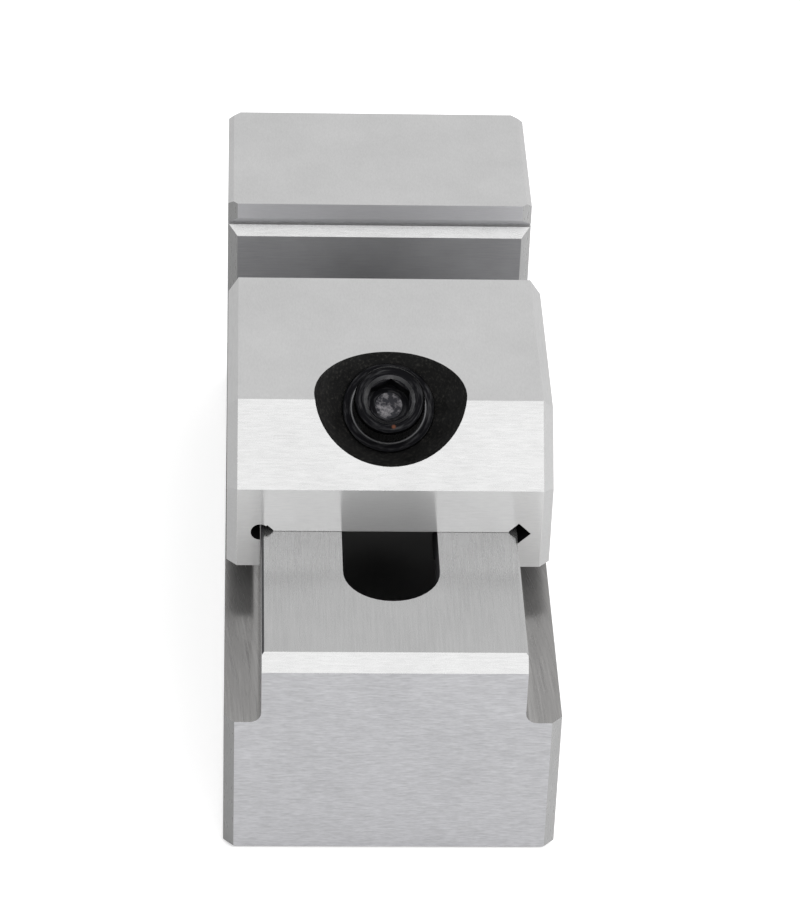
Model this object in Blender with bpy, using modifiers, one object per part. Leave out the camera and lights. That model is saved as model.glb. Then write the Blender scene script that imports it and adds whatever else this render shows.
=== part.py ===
"""Screwless toolmaker's vise, 73 mm wide: a ground steel block with its fixed jaw at the rear, a saddle
jaw that slides on the rail, and a slanted draw screw whose cross nut hooks into notches under the rail.

Units are metres. +X is the vise's right, +Y runs from the front end to the fixed jaw, +Z is up.
The origin is the middle of the base. Y values named FROM_FRONT are measured from the front end.
"""

import math

import bmesh
import bpy
from mathutils import Matrix, Vector

MM = 0.001

# Body and fixed jaw
BODY_WIDTH = 73.0 * MM
BODY_LENGTH = 188.0 * MM
BODY_HEIGHT = 78.0 * MM
JAW_DEPTH = 25.7 * MM
RAIL_HEIGHT = 16.7 * MM
LEDGE_WIDTH = 8.05 * MM
FIXED_JAW_LENGTH = 44.7 * MM
CORNER_CHAMFER = 2.3 * MM
FIXED_JAW_TOP_CHAMFER = 1.3 * MM
BASE_CHAMFER = 0.6 * MM
RAIL_FRONT_CHAMFER = 3.2 * MM
RAIL_EDGE_CHAMFER = 0.5 * MM
LEDGE_FILLET = 2.5 * MM

# Horizontal vee in the fixed jaw's face, and the grinding relief at its foot
VEE_UPPER_LIP = 4.1 * MM
VEE_FLANK = 2.05 * MM
VEE_RELIEF_WIDTH = 0.9 * MM
VEE_RELIEF_DEPTH = 1.2 * MM
FOOT_RELIEF_WIDTH = 2.0 * MM
FOOT_RELIEF_DEPTH = 1.0 * MM

# Slot and underside of the body
SLOT_WIDTH = 21.3 * MM
SLOT_FRONT = 21.1 * MM
SLOT_REAR_WALL = 0.35 * MM
SIDE_GROOVE_LENGTH = 148.0 * MM
SIDE_GROOVE_HEIGHT = 8.0 * MM
SIDE_GROOVE_DEPTH = 5.0 * MM
SIDE_GROOVE_CENTRE = 14.0 * MM

# Moving jaw
RUNNING_GAP = 0.3 * MM
JAW_OPENING_PITCHES = 2
JAW_LENGTH = 64.2 * MM
JAW_SKIRT_DROP = 9.5 * MM
JAW_SLOPE = 14.4 * MM
JAW_SIDE_INSET = 0.3 * MM
JAW_EDGE_CHAMFER = 2.3 * MM
CORNER_RELIEF = 2.75 * MM
CORNER_RELIEF_SMALL = 1.9 * MM
CORNER_RELIEF_BORE = 2.1 * MM
CORNER_RELIEF_STEP = 1.6 * MM
CORNER_RELIEF_DROP = 0.6 * MM

# Draw screw, measured along its axis from the centre of the ball pocket
SCREW_TILT = math.radians(40.0)
POCKET_RADIUS = 17.0 * MM
POCKET_SETBACK = 16.6 * MM
POCKET_ABOVE_TOP = 0.5 * MM
SCREW_RADIUS = 5.0 * MM
SCREW_LENGTH = 65.0 * MM
HEAD_RADIUS = 8.0 * MM
HEAD_HEIGHT = 6.5 * MM
HEAD_CHAMFER = 0.8 * MM
SOCKET_ACROSS_FLATS = 8.0 * MM
SOCKET_DEPTH = 4.0 * MM
SOCKET_LEAD_IN = 1.0 * MM
TIP_CHAMFER = 0.9 * MM
WASHER_RADIUS = 10.4 * MM
WASHER_RIM = 0.6 * MM
WASHER_BORE_GAP = 0.4 * MM
SCREW_HOLE_GAP = 0.9 * MM
SCREW_SWING = math.radians(1.0)

# Cross nut and the ring that keeps it on the screw
HOOK_PITCH = 16.2 * MM
HOOK_LIFT = 9.0 * MM
HOOK_COUNT_FRONT = 3
NUT_BARREL_RADIUS = 7.0 * MM
NUT_BARREL_LENGTH = 16.0 * MM
NUT_JOURNAL_RADIUS = 4.0 * MM
NUT_LENGTH = 40.0 * MM
NUT_CHAMFER = 0.5 * MM
NUT_REST_DEPTH = 64.2 * MM
JOURNAL_ABOVE_ROOF = 2.2 * MM
RING_THICKNESS = 1.2 * MM
RING_RADIUS = 7.4 * MM
RING_GROOVE_DEPTH = 0.7 * MM
RING_OPENING = 4.0 * MM
CHANNEL_SIDE_GAP = 2.0 * MM
CHANNEL_END_GAP = 3.0 * MM
CHANNEL_CORNER = 4.0 * MM

# How finely round forms are divided
SIDES_LARGE = 64
SIDES_MEDIUM = 40
SIDES_SMALL = 24
OVERCUT = 2.0 * MM

# Places that follow from the sizes above
RAIL_TOP = BODY_HEIGHT - JAW_DEPTH
LEDGE_TOP = RAIL_TOP - RAIL_HEIGHT
RAIL_WIDTH = BODY_WIDTH - 2 * LEDGE_WIDTH
FRONT = -BODY_LENGTH / 2
REAR = BODY_LENGTH / 2
FIXED_FACE = REAR - FIXED_JAW_LENGTH
JAW_CLOSING = JAW_OPENING_PITCHES * HOOK_PITCH
JAW_BACK = FIXED_FACE - JAW_CLOSING - RUNNING_GAP
JAW_FRONT = JAW_BACK - JAW_LENGTH
SADDLE = RAIL_TOP + RUNNING_GAP
SCREW_AXIS = Vector((0, math.sin(SCREW_TILT), -math.cos(SCREW_TILT)))
POCKET_CENTRE = Vector((0, JAW_FRONT + POCKET_SETBACK, BODY_HEIGHT + POCKET_ABOVE_TOP))
WASHER_SPHERE = POCKET_RADIUS - RUNNING_GAP
WASHER_TOP = math.sqrt(WASHER_SPHERE**2 - WASHER_RADIUS**2) - WASHER_RIM
HEAD_SEAT = WASHER_TOP - RUNNING_GAP
SCREW_TIP = HEAD_SEAT + SCREW_LENGTH
RING_DEPTH = NUT_REST_DEPTH + NUT_BARREL_RADIUS + RUNNING_GAP
NUT_PLACE = POCKET_CENTRE + NUT_REST_DEPTH * SCREW_AXIS
NUT_HOOKED = NUT_PLACE - HOOK_LIFT * SCREW_AXIS
ROOF = NUT_HOOKED.z + NUT_JOURNAL_RADIUS - JOURNAL_ABOVE_ROOF
HOOK_SWEEP = (NUT_REST_DEPTH - HOOK_LIFT) * math.sin(SCREW_SWING)
HOOK_RADIUS = NUT_JOURNAL_RADIUS + HOOK_SWEEP + RUNNING_GAP
CHANNEL_WIDTH = NUT_LENGTH + 2 * CHANNEL_SIDE_GAP
CHANNEL_FRONT = NUT_HOOKED.y - HOOK_COUNT_FRONT * HOOK_PITCH - HOOK_RADIUS - CHANNEL_END_GAP
SCREW_REACH = SCREW_TIP * SCREW_AXIS.y + SCREW_RADIUS + JAW_CLOSING
CHANNEL_REAR = POCKET_CENTRE.y + SCREW_REACH + CHANNEL_END_GAP

STEEL = (0.56, 0.56, 0.57)
BLACK_STEEL = (0.012, 0.012, 0.013)


def clear_scene():
    for obj in list(bpy.data.objects):
        bpy.data.objects.remove(obj, do_unlink=True)


def new_collection(name):
    group = bpy.data.collections.new(name)
    bpy.context.scene.collection.children.link(group)
    return group


def metal(name, colour, roughness):
    material = bpy.data.materials.new(name)
    material.use_nodes = True
    shader = material.node_tree.nodes["Principled BSDF"]
    shader.inputs["Base Color"].default_value = (*colour, 1.0)
    shader.inputs["Metallic"].default_value = 1.0
    shader.inputs["Roughness"].default_value = roughness
    return material


def object_from(bm, name, group):
    mesh = bpy.data.meshes.new(name)
    bm.to_mesh(mesh)
    bm.free()
    obj = bpy.data.objects.new(name, mesh)
    group.objects.link(obj)
    return obj


def block(low, high):
    """A box between two corners, as a bmesh."""
    bm = bmesh.new()
    bmesh.ops.create_cube(bm, size=1.0)
    low, high = Vector(low), Vector(high)
    bmesh.ops.scale(bm, vec=high - low, verts=bm.verts)
    bmesh.ops.translate(bm, vec=(low + high) / 2, verts=bm.verts)
    return bm


def drum(radius, length, sides, taper=None):
    """A cylinder centred on the origin along Z; taper is the radius of its upper end."""
    bm = bmesh.new()
    bmesh.ops.create_cone(
        bm,
        cap_ends=True,
        segments=sides,
        radius1=radius,
        radius2=radius if taper is None else taper,
        depth=length,
    )
    return bm


def bevel(bm, chosen, width, segments=1):
    """Bevels the edges for which chosen(middle, direction) is true."""
    edges = []
    for edge in bm.edges:
        a, b = edge.verts[0].co, edge.verts[1].co
        if chosen((a + b) / 2, (b - a).normalized()):
            edges.append(edge)
    bmesh.ops.bevel(
        bm, geom=edges, offset=width, offset_type="OFFSET", segments=segments, profile=0.5, affect="EDGES"
    )


def near(a, b):
    return abs(a - b) < 1e-6


def boolean(target, tool, operation="DIFFERENCE"):
    modifier = target.modifiers.new(tool.name, "BOOLEAN")
    modifier.operation = operation
    modifier.solver = "EXACT"
    modifier.object = tool


def cutter(bm, name, target, cutters, turn=None, place=(0, 0, 0)):
    """Turns and places a bmesh, then cuts it from the target."""
    if turn is not None:
        bmesh.ops.rotate(bm, cent=(0, 0, 0), matrix=turn, verts=bm.verts)
    bmesh.ops.translate(bm, vec=place, verts=bm.verts)
    tool = object_from(bm, name, cutters)
    tool.hide_render = True
    tool.display_type = "WIRE"
    boolean(target, tool)


def smooth(obj, angle=32.0):
    obj.data.shade_smooth()
    obj.data.set_sharp_from_angle(angle=math.radians(angle))


def finish(obj, material):
    obj.data.materials.append(material)


def edge_wedge(half_diagonal, length, along):
    """A square bar stood on its edge along X, Y or Z; its corners are half_diagonal from its middle."""
    side = half_diagonal * math.sqrt(2)
    half = Vector((side / 2,) * 3)
    half["XYZ".index(along)] = length / 2
    bm = block(-half, half)
    bmesh.ops.rotate(bm, cent=(0, 0, 0), matrix=Matrix.Rotation(math.radians(45), 3, along), verts=bm.verts)
    return bm


def rounded_slot(low, high, radius, axis="Z", segments=10):
    """A box whose edges along one axis are rounded."""
    bm = block(low, high)
    index = "XYZ".index(axis)
    bevel(bm, lambda middle, way: abs(way[index]) > 0.9, radius, segments)
    return bm


def vise_body(parts, cutters, steel):
    half = BODY_WIDTH / 2
    bm = block((-half, FRONT, 0), (half, REAR, BODY_HEIGHT))
    bevel(bm, lambda middle, way: abs(way.z) > 0.9, CORNER_CHAMFER)
    bevel(bm, lambda middle, way: near(middle.z, BODY_HEIGHT), FIXED_JAW_TOP_CHAMFER)
    bevel(bm, lambda middle, way: near(middle.z, 0), BASE_CHAMFER)
    body = object_from(bm, "vise_body", parts)

    clear = half + OVERCUT
    above = BODY_HEIGHT + OVERCUT
    cutter(block((-clear, FRONT - OVERCUT, RAIL_TOP), (clear, FIXED_FACE, above)), "jaw_space", body, cutters)

    for side in (-1, 1):
        name = "left" if side < 0 else "right"
        inner, outer = side * RAIL_WIDTH / 2, side * clear
        low = (min(inner, outer), FRONT - OVERCUT, LEDGE_TOP)
        high = (max(inner, outer), FIXED_FACE, RAIL_TOP + OVERCUT)
        bm = block(low, high)
        bevel(bm, lambda m, way: near(m.x, inner) and near(m.z, LEDGE_TOP), LEDGE_FILLET, 5)
        cutter(bm, f"ledge_{name}", body, cutters)
        corner = edge_wedge(CORNER_CHAMFER, BODY_HEIGHT, "Z")
        cutter(corner, f"face_corner_{name}", body, cutters, place=(side * half, FIXED_FACE, LEDGE_TOP + above / 2))
        edge = edge_wedge(RAIL_EDGE_CHAMFER, FIXED_FACE - FRONT + OVERCUT, "Y")
        middle = (FRONT + FIXED_FACE - OVERCUT) / 2
        cutter(edge, f"rail_edge_{name}", body, cutters, place=(inner, middle, RAIL_TOP))
        groove = rounded_slot(
            (-SIDE_GROOVE_DEPTH, -SIDE_GROOVE_LENGTH / 2, -SIDE_GROOVE_HEIGHT / 2),
            (SIDE_GROOVE_DEPTH, SIDE_GROOVE_LENGTH / 2, SIDE_GROOVE_HEIGHT / 2),
            SIDE_GROOVE_HEIGHT / 2 * 0.99,
            "X",
            6,
        )
        cutter(groove, f"side_groove_{name}", body, cutters, place=(side * half, 0, SIDE_GROOVE_CENTRE))

    nose = edge_wedge(RAIL_FRONT_CHAMFER, BODY_WIDTH, "X")
    cutter(nose, "rail_nose", body, cutters, place=(0, FRONT, RAIL_TOP))

    vee_reach = VEE_FLANK + VEE_RELIEF_WIDTH / 2
    vee_middle = BODY_HEIGHT - VEE_UPPER_LIP - vee_reach
    cutter(edge_wedge(vee_reach, 2 * clear, "X"), "vee", body, cutters, place=(0, FIXED_FACE, vee_middle))
    relief = block(
        (-clear, FIXED_FACE, vee_middle - VEE_RELIEF_WIDTH / 2),
        (clear, FIXED_FACE + VEE_FLANK + VEE_RELIEF_DEPTH, vee_middle + VEE_RELIEF_WIDTH / 2),
    )
    cutter(relief, "vee_relief", body, cutters)
    foot = block(
        (-clear, FIXED_FACE - FOOT_RELIEF_WIDTH, RAIL_TOP - FOOT_RELIEF_DEPTH),
        (clear, FIXED_FACE + FOOT_RELIEF_DEPTH, RAIL_TOP + FOOT_RELIEF_DEPTH),
    )
    cutter(foot, "foot_relief", body, cutters)

    slot_half = SLOT_WIDTH / 2
    slot = rounded_slot(
        (-slot_half, FRONT + SLOT_FRONT, -OVERCUT),
        (slot_half, FIXED_FACE - SLOT_REAR_WALL, RAIL_TOP + OVERCUT),
        slot_half * 0.995,
    )
    cutter(slot, "slot", body, cutters)
    channel = rounded_slot(
        (-CHANNEL_WIDTH / 2, CHANNEL_FRONT, -OVERCUT),
        (CHANNEL_WIDTH / 2, CHANNEL_REAR, ROOF),
        CHANNEL_CORNER,
        segments=4,
    )
    cutter(channel, "channel", body, cutters)
    turn = Matrix.Rotation(SCREW_TILT, 3, "X")
    for index in range(-HOOK_COUNT_FRONT, JAW_OPENING_PITCHES + 1):
        hook = block(
            (-CHANNEL_WIDTH / 2, -HOOK_RADIUS, -2 * HOOK_RADIUS),
            (CHANNEL_WIDTH / 2, HOOK_RADIUS, HOOK_RADIUS),
        )
        bevel(hook, lambda m, way: abs(way.x) > 0.9 and near(m.z, HOOK_RADIUS), HOOK_RADIUS * 0.99, 6)
        place = NUT_HOOKED + Vector((0, index * HOOK_PITCH, 0))
        cutter(hook, f"hook_{index + HOOK_COUNT_FRONT}", body, cutters, turn=turn, place=place)
    finish(body, steel)
    smooth(body)


def moving_jaw(parts, cutters, steel):
    half = BODY_WIDTH / 2 - JAW_SIDE_INSET
    bottom = RAIL_TOP - JAW_SKIRT_DROP
    bm = block((-half, JAW_FRONT, bottom), (half, JAW_BACK, BODY_HEIGHT))
    bevel(bm, lambda middle, way: near(middle.y, JAW_FRONT) and near(middle.z, BODY_HEIGHT), JAW_SLOPE)
    bevel(bm, lambda m, way: near(abs(m.x), half) and not near(m.z, bottom), JAW_EDGE_CHAMFER)
    jaw = object_from(bm, "moving_jaw", parts)

    long = JAW_LENGTH + 2 * OVERCUT
    middle = (JAW_FRONT + JAW_BACK) / 2
    inner = RAIL_WIDTH / 2 + RUNNING_GAP
    saddle = block((-inner, JAW_FRONT - OVERCUT, bottom - OVERCUT), (inner, JAW_BACK + OVERCUT, SADDLE))
    cutter(saddle, "saddle", jaw, cutters)
    corner = SADDLE - CORNER_RELIEF_DROP
    cutter(edge_wedge(CORNER_RELIEF, long, "Y"), "relief_right", jaw, cutters, place=(inner, middle, corner))
    upright = Matrix.Rotation(math.radians(90), 3, "X")
    bore = drum(CORNER_RELIEF_BORE, long, SIDES_SMALL)
    cutter(bore, "relief_left_bore", jaw, cutters, turn=upright, place=(-inner, middle, corner))
    small = edge_wedge(CORNER_RELIEF_SMALL, long, "Y")
    cutter(small, "relief_left", jaw, cutters, place=(CORNER_RELIEF_STEP - inner, middle, corner))

    turn = SCREW_AXIS.to_track_quat("Z", "X").to_matrix()
    ball = bmesh.new()
    bmesh.ops.create_uvsphere(ball, u_segments=SIDES_LARGE, v_segments=SIDES_LARGE // 2, radius=POCKET_RADIUS)
    cutter(ball, "ball_pocket", jaw, cutters, turn=turn, place=POCKET_CENTRE)
    hole_side = SCREW_RADIUS + SCREW_HOLE_GAP
    reach = (POCKET_CENTRE.z - SADDLE) / math.cos(SCREW_TILT) + 2 * hole_side
    hole_long = hole_side + reach * math.sin(SCREW_SWING)
    hole = rounded_slot((-hole_side, -hole_long, 0), (hole_side, hole_long, reach), hole_side * 0.99, segments=8)
    tilt = Matrix.Rotation(SCREW_TILT + math.pi, 3, "X")
    cutter(hole, "screw_hole", jaw, cutters, turn=tilt, place=POCKET_CENTRE)
    finish(jaw, steel)
    smooth(jaw)


def turned(name, group, profile, sides):
    """A solid turned about the screw axis. The profile lists radius and depth from the pocket's centre,
    from the axis or bore round the outside; depth grows along the screw."""
    mesh = bpy.data.meshes.new(name)
    points = [(radius, 0, -depth) for radius, depth in profile]
    edges = [(i, i + 1) for i in range(len(points) - 1)]
    closed = near(points[0][0], 0) and near(points[-1][0], 0)
    if not closed:
        edges.append((len(points) - 1, 0))
    mesh.from_pydata(points, edges, [])
    obj = bpy.data.objects.new(name, mesh)
    group.objects.link(obj)
    screw = obj.modifiers.new("turn", "SCREW")
    screw.axis = "Z"
    screw.steps = screw.render_steps = sides
    screw.use_merge_vertices = True
    screw.merge_threshold = 0.00001
    screw.use_smooth_shade = True
    obj.rotation_euler = (SCREW_TILT, 0, 0)
    obj.location = POCKET_CENTRE
    return obj


def arc_depth(radius):
    """Depth of the washer's ball face at a radius."""
    return math.sqrt(WASHER_SPHERE**2 - radius**2)


def spherical_washer(parts, black):
    bore = SCREW_RADIUS + WASHER_BORE_GAP
    steps = 6
    profile = [(bore, WASHER_TOP), (WASHER_RADIUS, WASHER_TOP)]
    for step in range(steps + 1):
        radius = WASHER_RADIUS + (bore - WASHER_RADIUS) * step / steps
        profile.append((radius, arc_depth(radius)))
    washer = turned("spherical_washer", parts, profile, SIDES_LARGE)
    finish(washer, black)


def draw_screw(parts, cutters, black):
    top = HEAD_SEAT - HEAD_HEIGHT
    groove = SCREW_RADIUS - RING_GROOVE_DEPTH
    profile = [
        (0, top),
        (HEAD_RADIUS - HEAD_CHAMFER, top),
        (HEAD_RADIUS, top + HEAD_CHAMFER),
        (HEAD_RADIUS, HEAD_SEAT),
        (SCREW_RADIUS, HEAD_SEAT),
        (SCREW_RADIUS, RING_DEPTH - RUNNING_GAP),
        (groove, RING_DEPTH - RUNNING_GAP),
        (groove, RING_DEPTH + RING_THICKNESS + RUNNING_GAP),
        (SCREW_RADIUS, RING_DEPTH + RING_THICKNESS + RUNNING_GAP),
        (SCREW_RADIUS, SCREW_TIP - TIP_CHAMFER),
        (SCREW_RADIUS - TIP_CHAMFER, SCREW_TIP),
        (0, SCREW_TIP),
    ]
    screw = turned("draw_screw", parts, profile, SIDES_MEDIUM)
    across_corners = SOCKET_ACROSS_FLATS / 2 / math.cos(math.radians(30))
    socket = drum(across_corners, SOCKET_DEPTH * 2, 6)
    boolean(screw, tool_on_screw(socket, "socket", cutters, top))
    lead = across_corners + SOCKET_LEAD_IN
    cone = drum(0.1 * MM, 2 * lead, SIDES_MEDIUM, taper=2 * lead)
    boolean(screw, tool_on_screw(cone, "socket_lead_in", cutters, top))
    finish(screw, black)


def tool_on_screw(bm, name, cutters, depth):
    """A cutter in the screw's own frame, centred at a depth."""
    bmesh.ops.translate(bm, vec=(0, 0, -depth), verts=bm.verts)
    tool = object_from(bm, name, cutters)
    tool.hide_render = True
    tool.display_type = "WIRE"
    tool.location = POCKET_CENTRE
    tool.rotation_euler = (SCREW_TILT, 0, 0)
    return tool


def cross_nut(parts, cutters, black):
    """A turned cross bar: a barrel with the threaded hole, between the two journals that hook."""
    half = NUT_LENGTH / 2
    barrel = NUT_BARREL_LENGTH / 2
    profile = [
        (0, -half),
        (NUT_JOURNAL_RADIUS - NUT_CHAMFER, -half),
        (NUT_JOURNAL_RADIUS, NUT_CHAMFER - half),
        (NUT_JOURNAL_RADIUS, -barrel),
        (NUT_BARREL_RADIUS - NUT_CHAMFER, -barrel),
        (NUT_BARREL_RADIUS, NUT_CHAMFER - barrel),
        (NUT_BARREL_RADIUS, barrel - NUT_CHAMFER),
        (NUT_BARREL_RADIUS - NUT_CHAMFER, barrel),
        (NUT_JOURNAL_RADIUS, barrel),
        (NUT_JOURNAL_RADIUS, half - NUT_CHAMFER),
        (NUT_JOURNAL_RADIUS - NUT_CHAMFER, half),
        (0, half),
    ]
    nut = turned("cross_nut", parts, profile, SIDES_MEDIUM)
    nut.location = NUT_PLACE
    nut.rotation_euler = (Matrix.Rotation(SCREW_TILT, 3, "X") @ Matrix.Rotation(math.pi / 2, 3, "Y")).to_euler()
    hole = drum(SCREW_RADIUS + RUNNING_GAP, 4 * NUT_BARREL_RADIUS, SIDES_MEDIUM)
    boolean(nut, tool_on_screw(hole, "nut_hole", cutters, NUT_REST_DEPTH))
    finish(nut, black)


def retaining_ring(parts, cutters, black):
    bore = SCREW_RADIUS - RING_GROOVE_DEPTH + RUNNING_GAP
    profile = [
        (bore, RING_DEPTH),
        (RING_RADIUS, RING_DEPTH),
        (RING_RADIUS, RING_DEPTH + RING_THICKNESS),
        (bore, RING_DEPTH + RING_THICKNESS),
    ]
    ring = turned("retaining_ring", parts, profile, SIDES_MEDIUM)
    gap = block((-RING_OPENING / 2, 0, -RING_RADIUS), (RING_OPENING / 2, 2 * RING_RADIUS, RING_RADIUS))
    boolean(ring, tool_on_screw(gap, "ring_opening", cutters, RING_DEPTH))
    finish(ring, black)


def main():
    clear_scene()
    parts = new_collection("toolmakers_vise")
    cutters = new_collection("cutters")
    ground = metal("ground_steel", STEEL, 0.3)
    black = metal("black_oxide", BLACK_STEEL, 0.4)
    vise_body(parts, cutters, ground)
    moving_jaw(parts, cutters, ground)
    spherical_washer(parts, black)
    draw_screw(parts, cutters, black)
    cross_nut(parts, cutters, black)
    retaining_ring(parts, cutters, black)


main()
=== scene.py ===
# %% [markdown]
# # A screwless toolmaker's vise
#
# This vise is a block of hardened steel, ground flat and square on every side. A saddle jaw slides on its
# raised rail, and a slanted screw pulls it down and towards the fixed jaw at the same time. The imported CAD
# model already has the sizes and the moving bodies. This notebook breaks the sharp edges, builds the screw,
# gives each surface its ground or blackened finish, and lights the vise as in a small studio.

# %% Load the frame
import math

import bmesh
import bpy
from mathutils import Matrix, Vector


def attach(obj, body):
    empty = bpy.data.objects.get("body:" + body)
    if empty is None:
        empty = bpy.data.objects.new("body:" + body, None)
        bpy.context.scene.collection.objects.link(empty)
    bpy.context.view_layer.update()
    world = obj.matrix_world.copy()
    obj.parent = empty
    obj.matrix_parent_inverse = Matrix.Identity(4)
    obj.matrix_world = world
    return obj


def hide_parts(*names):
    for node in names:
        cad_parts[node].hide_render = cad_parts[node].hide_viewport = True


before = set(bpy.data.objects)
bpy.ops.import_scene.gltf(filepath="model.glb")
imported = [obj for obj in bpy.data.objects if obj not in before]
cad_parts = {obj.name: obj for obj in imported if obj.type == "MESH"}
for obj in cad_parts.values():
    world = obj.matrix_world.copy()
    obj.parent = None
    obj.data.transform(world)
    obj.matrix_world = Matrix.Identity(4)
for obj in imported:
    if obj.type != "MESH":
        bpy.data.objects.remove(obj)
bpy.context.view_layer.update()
MM = 0.001

# %% [markdown]
# ## The camera
#
# The view is from above the front end, a little to the left, with a long lens, so the sides of the rail stay
# nearly parallel. A camera can be aimed with a constraint or by typing angles. Here its three axes are worked
# out from the azimuth, elevation and roll, because that gives exactly one answer and nothing to drift. The
# focal length is known in pixels, and the sensor's 36 mm lie along the picture's longer side, its height.

# %% Aim the camera
CAMERA_PLACE = Vector((-34.66, -722.19, 549.80)) * MM
AZIMUTH = math.radians(-3.083)
ELEVATION = math.radians(35.185)
ROLL = math.radians(2.187)
FOCAL_PIXELS = 3772.6
PHOTO_HEIGHT = 908
SENSOR = 36.0
NEAREST, FARTHEST = 0.05, 20.0


def camera_axes(azimuth, elevation, roll):
    """The camera's right, up and back directions."""
    right = Vector((math.cos(azimuth), math.sin(azimuth), 0))
    flat = math.cos(elevation)
    ahead = Vector((-math.sin(azimuth) * flat, math.cos(azimuth) * flat, -math.sin(elevation)))
    down = ahead.cross(right)
    tilted_right = math.cos(roll) * right - math.sin(roll) * down
    tilted_down = math.sin(roll) * right + math.cos(roll) * down
    return tilted_right, -tilted_down, -ahead


camera_data = bpy.data.cameras.new("camera")
camera_data.sensor_width = SENSOR
camera_data.lens = FOCAL_PIXELS * SENSOR / PHOTO_HEIGHT
camera_data.clip_start = NEAREST
camera_data.clip_end = FARTHEST
camera = bpy.data.objects.new("camera", camera_data)
bpy.context.scene.collection.objects.link(camera)
axes = Matrix(camera_axes(AZIMUTH, ELEVATION, ROLL)).transposed()
camera.matrix_world = Matrix.Translation(CAMERA_PLACE) @ axes.to_4x4()
bpy.context.scene.camera = camera
print("lens:", round(camera_data.lens, 1), "mm")

# %% [markdown]
# ## Picking faces and edges in code
#
# Edit mode works on what is selected. By hand you would click, and in a script you choose by place or by
# normal. These helpers clear the selection first, because the imported nodes arrive selected and a new
# primitive is selected all over.


# %% Selection helpers
def select_nothing():
    """Leaves edit mode and deselects every object."""
    if bpy.context.object and bpy.context.object.mode != "OBJECT":
        bpy.ops.object.mode_set(mode="OBJECT")
    bpy.ops.object.select_all(action="DESELECT")


def only(piece):
    """Makes one piece the selected and active object."""
    select_nothing()
    piece.select_set(True)
    bpy.context.view_layer.objects.active = piece


def pick(piece, kind, test):
    """Selects, in edit mode, each EDGE or FACE for which test is true, and returns how many there are."""
    bpy.ops.mesh.select_mode(type=kind)
    bpy.ops.mesh.select_all(action="DESELECT")
    mesh = bmesh.from_edit_mesh(piece.data)
    parts = mesh.edges if kind == "EDGE" else mesh.faces
    chosen = [part for part in parts if test(part)]
    for part in chosen:
        part.select_set(True)
    bmesh.update_edit_mesh(piece.data)
    return len(chosen)


def open_edges(piece):
    """How many edges don't lie between exactly two faces. A closed solid has none."""
    mesh = bmesh.new()
    mesh.from_mesh(piece.data)
    count = sum(len(edge.link_faces) != 2 for edge in mesh.edges)
    mesh.free()
    return count


# %% [markdown]
# ## Breaking the edges
#
# A ground part leaves the grinder with edges sharp enough to cut, so the maker draws a stone along each one.
# The narrow flat that is left catches the light, and without it steel looks like paper. A live Bevel modifier
# would do, but here each CAD node is copied, its loose triangles are merged into real faces, and the bevel is
# made in edit mode on the sharp edges only, so the round walls stay smooth.


# %% Copy a node
WELD = 0.001 * MM
COPLANAR = math.radians(0.5)


def node_copy(node):
    """A copy of a CAD node as clean, merged faces, which stands in for the node."""
    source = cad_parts[node]
    piece = source.copy()
    piece.data = source.data.copy()
    piece.parent = None
    piece.name = node + "_finished"
    bpy.context.scene.collection.objects.link(piece)
    only(piece)
    bpy.ops.object.mode_set(mode="EDIT")
    bpy.ops.mesh.select_all(action="SELECT")
    bpy.ops.mesh.remove_doubles(threshold=WELD)
    bpy.ops.mesh.select_all(action="SELECT")
    bpy.ops.mesh.dissolve_limited(angle_limit=COPLANAR)
    bpy.ops.object.mode_set(mode="OBJECT")
    piece.data.materials.clear()
    return piece


body = node_copy("vise_body")
jaw = node_copy("moving_jaw")
washer = node_copy("spherical_washer")
nut = node_copy("cross_nut")
ring = node_copy("retaining_ring")
print("faces merged:", {piece.name: len(piece.data.polygons) for piece in (body, jaw, washer, nut, ring)})

# %% Stone the edges
EDGE_BREAK = 0.18 * MM
WASHER_BREAK = 0.3 * MM
SHARP = math.radians(28)
SMOOTH_BELOW = math.radians(30)


def break_edges(piece, width=EDGE_BREAK):
    """Bevels every sharp edge and shades the rest smooth."""
    only(piece)
    bpy.ops.object.mode_set(mode="EDIT")
    found = pick(piece, "EDGE", lambda e: len(e.link_faces) == 2 and e.calc_face_angle(0) > SHARP)
    bpy.ops.mesh.bevel(offset=width, segments=2, profile=0.5, affect="EDGES", clamp_overlap=True)
    bpy.ops.object.mode_set(mode="OBJECT")
    bpy.ops.object.shade_smooth_by_angle(angle=SMOOTH_BELOW)
    print(piece.name, "edges broken:", found, "open edges:", open_edges(piece))


for steel_piece in (body, jaw, nut, ring):
    break_edges(steel_piece)
break_edges(washer, WASHER_BREAK)

# %% [markdown]
# ## Settling the jaw on its rail
#
# The real jaw rides on a film of oil. The CAD model keeps a wider running gap above the rail, so that nothing
# rubs when it moves, and that gap would show as a black line. Moving the whole jaw down would take its screw
# and pocket out of place, so only the ceiling of its saddle is picked, by its height, and lowered.

# %% Lower the saddle's ceiling
RAIL_TOP = 52.3 * MM
RUNNING_GAP = 0.3 * MM
OIL_FILM = 0.05 * MM
NEARBY = 0.1 * MM
SQUARE = 0.9


def is_ceiling(face):
    """Whether a face of the jaw looks straight down on the rail from the running gap's height."""
    height = face.calc_center_median().z
    return face.normal.z < -SQUARE and abs(height - RAIL_TOP - RUNNING_GAP) < NEARBY


only(jaw)
bpy.ops.object.mode_set(mode="EDIT")
ceiling = pick(jaw, "FACE", is_ceiling)
bpy.ops.transform.translate(value=(0, 0, OIL_FILM - RUNNING_GAP))
bpy.ops.object.mode_set(mode="OBJECT")
print("saddle faces lowered:", ceiling, "open edges:", open_edges(jaw))

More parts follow.
